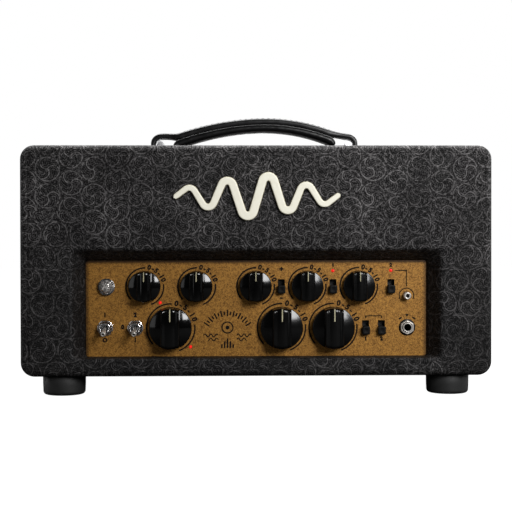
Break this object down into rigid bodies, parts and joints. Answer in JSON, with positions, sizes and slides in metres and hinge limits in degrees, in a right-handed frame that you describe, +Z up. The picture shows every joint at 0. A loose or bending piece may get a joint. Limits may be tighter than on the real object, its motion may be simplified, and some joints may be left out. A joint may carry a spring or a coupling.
{
  "type": "guitar amplifier head",
  "caption": "Compact valve guitar amplifier head: vinyl-covered box with strap handle, rubber feet and a recessed gold control panel with knobs and switches.",
  "frame": {"origin": "centre of the base of the bounding box, on the plane that the four feet stand on", "axes": "+X to the right as seen from the front, along the width; +Y from the control panel towards the back; +Z up"},
  "size_m": [0.474, 0.239, 0.2884],
  "materials": {
    "covered_board": "charcoal vinyl, embossed with rings and swirls, glued on plywood",
    "badge": "cream satin plastic with a slightly darker edge",
    "black_steel": "black textured paint",
    "foot_rubber": "matte black",
    "handle_vinyl": "glossy black vinyl with a stitched welt",
    "chrome": "bright plated",
    "chassis_steel": "satin plated",
    "panel_paint": "gold-brown paint with a fine metallic grain and black print",
    "knob_plastic": "gloss black with a cream pointer line",
    "slider_plastic": "satin black",
    "zinc": "zinc plated",
    "red_lens": "lit red lens",
    "clear_lens": "faceted clear lens",
    "socket_plastic": "satin black",
    "circuit_board": "green lacquered board",
    "valve_glass": "clear glass",
    "transformer_black": "black lacquered laminations and covers",
    "spring_steel": "bright wire and plated channel"
  },
  "bodies": {
    "amp": {"cabinet_shell": "covered_board", "front_baffle": "covered_board", "back_panel": "covered_board", "front_badge": "badge", "rear_grille": "black_steel", "foot_front_left": "foot_rubber", "foot_front_right": "foot_rubber", "foot_rear_left": "foot_rubber", "foot_rear_right": "foot_rubber", "handle_bracket_left": "chrome", "handle_bracket_right": "chrome", "chassis": "chassis_steel", "faceplate": "panel_paint", "power_switch_body": "zinc", "power_switch_nut": "chrome", "standby_switch_body": "zinc", "standby_switch_nut": "chrome", "led_reverb": "red_lens", "led_effects": "red_lens", "led_middle": "red_lens", "led_boost": "red_lens", "pilot_bezel": "chrome", "pilot_jewel": "clear_lens", "input_jack": "socket_plastic", "input_jack_nut": "chrome", "control_board": "circuit_board", "rear_jack_board": "socket_plastic", "mains_inlet": "socket_plastic", "fuse_holder": "socket_plastic", "main_board": "circuit_board", "power_valve_1": "valve_glass", "power_valve_2": "valve_glass", "preamp_valve_1": "valve_glass", "preamp_valve_2": "valve_glass", "preamp_valve_3": "valve_glass", "preamp_valve_4": "valve_glass", "power_transformer": "transformer_black", "output_transformer": "transformer_black", "choke": "transformer_black", "reverb_tank": "zinc", "reverb_spring_unit": "spring_steel"},
    "handle": {"handle_strap": "handle_vinyl", "handle_grip": "handle_vinyl"},
    "reverb_knob": {"knob_reverb": "knob_plastic"},
    "presence_knob": {"knob_presence": "knob_plastic"},
    "bass_knob": {"knob_bass": "knob_plastic"},
    "middle_knob": {"knob_middle": "knob_plastic"},
    "treble_knob": {"knob_treble": "knob_plastic"},
    "effects_knob": {"knob_effects": "knob_plastic"},
    "loudness_knob": {"knob_loudness": "knob_plastic"},
    "gain_knob": {"knob_gain": "knob_plastic"},
    "bass_shift_slider": {"slider_bass_shift": "slider_plastic"},
    "middle_shift_slider": {"slider_middle_shift": "slider_plastic"},
    "boost_slider": {"slider_boost": "slider_plastic"},
    "contour_high_slider": {"slider_contour_high": "slider_plastic"},
    "contour_low_slider": {"slider_contour_low": "slider_plastic"},
    "power_lever": {"power_switch_lever": "chrome"},
    "standby_lever": {"standby_switch_lever": "chrome"},
    "boost_trim": {"boost_trim_shaft": "chrome"}
  },
  "joints": [
    {"name": "handle_lift", "type": "slide", "parent": "amp", "child": "handle", "axis": [0, 0, 1], "range_m": [0, 0.0026]},
    {"name": "reverb_turn", "type": "hinge", "parent": "amp", "child": "reverb_knob", "pos_m": [-0.114, -0.0912, 0.1094], "axis": [0, 1, 0], "range_deg": [-150, 150]},
    {"name": "presence_turn", "type": "hinge", "parent": "amp", "child": "presence_knob", "pos_m": [-0.0612, -0.0912, 0.1094], "axis": [0, 1, 0], "range_deg": [-150, 150]},
    {"name": "bass_turn", "type": "hinge", "parent": "amp", "child": "bass_knob", "pos_m": [-0.001, -0.0912, 0.1094], "axis": [0, 1, 0], "range_deg": [-150, 150]},
    {"name": "middle_turn", "type": "hinge", "parent": "amp", "child": "middle_knob", "pos_m": [0.0518, -0.0912, 0.1094], "axis": [0, 1, 0], "range_deg": [-150, 150]},
    {"name": "treble_turn", "type": "hinge", "parent": "amp", "child": "treble_knob", "pos_m": [0.1046, -0.0912, 0.1094], "axis": [0, 1, 0], "range_deg": [-150, 150]},
    {"name": "effects_turn", "type": "hinge", "parent": "amp", "child": "effects_knob", "pos_m": [-0.0876, -0.0912, 0.0673], "axis": [0, 1, 0], "range_deg": [-150, 150]},
    {"name": "loudness_turn", "type": "hinge", "parent": "amp", "child": "loudness_knob", "pos_m": [0.0254, -0.0912, 0.0673], "axis": [0, 1, 0], "range_deg": [-150, 150]},
    {"name": "gain_turn", "type": "hinge", "parent": "amp", "child": "gain_knob", "pos_m": [0.0782, -0.0912, 0.0673], "axis": [0, 1, 0], "range_deg": [-150, 150]},
    {"name": "boost_trim_turn", "type": "hinge", "parent": "amp", "child": "boost_trim", "pos_m": [0.1536, -0.0912, 0.0998], "axis": [0, 1, 0], "range_deg": [-140, 140]},
    {"name": "power_flip", "type": "hinge", "parent": "amp", "child": "power_lever", "pos_m": [-0.1543, -0.0952, 0.0673], "axis": [-1, 0, 0], "range_deg": [0, 30]},
    {"name": "standby_flip", "type": "hinge", "parent": "amp", "child": "standby_lever", "pos_m": [-0.1236, -0.0952, 0.0673], "axis": [-1, 0, 0], "range_deg": [0, 30]},
    {"name": "bass_shift_travel", "type": "slide", "parent": "amp", "child": "bass_shift_slider", "axis": [0, 0, 1], "range_m": [0, 0.0058]},
    {"name": "middle_shift_travel", "type": "slide", "parent": "amp", "child": "middle_shift_slider", "axis": [0, 0, 1], "range_m": [0, 0.0058]},
    {"name": "boost_travel", "type": "slide", "parent": "amp", "child": "boost_slider", "axis": [0, 0, 1], "range_m": [0, 0.0058]},
    {"name": "contour_high_travel", "type": "slide", "parent": "amp", "child": "contour_high_slider", "axis": [0, 0, 1], "range_m": [0, 0.0058]},
    {"name": "contour_low_travel", "type": "slide", "parent": "amp", "child": "contour_low_slider", "axis": [0, 0, 1], "range_m": [0, 0.0058]}
  ]
}
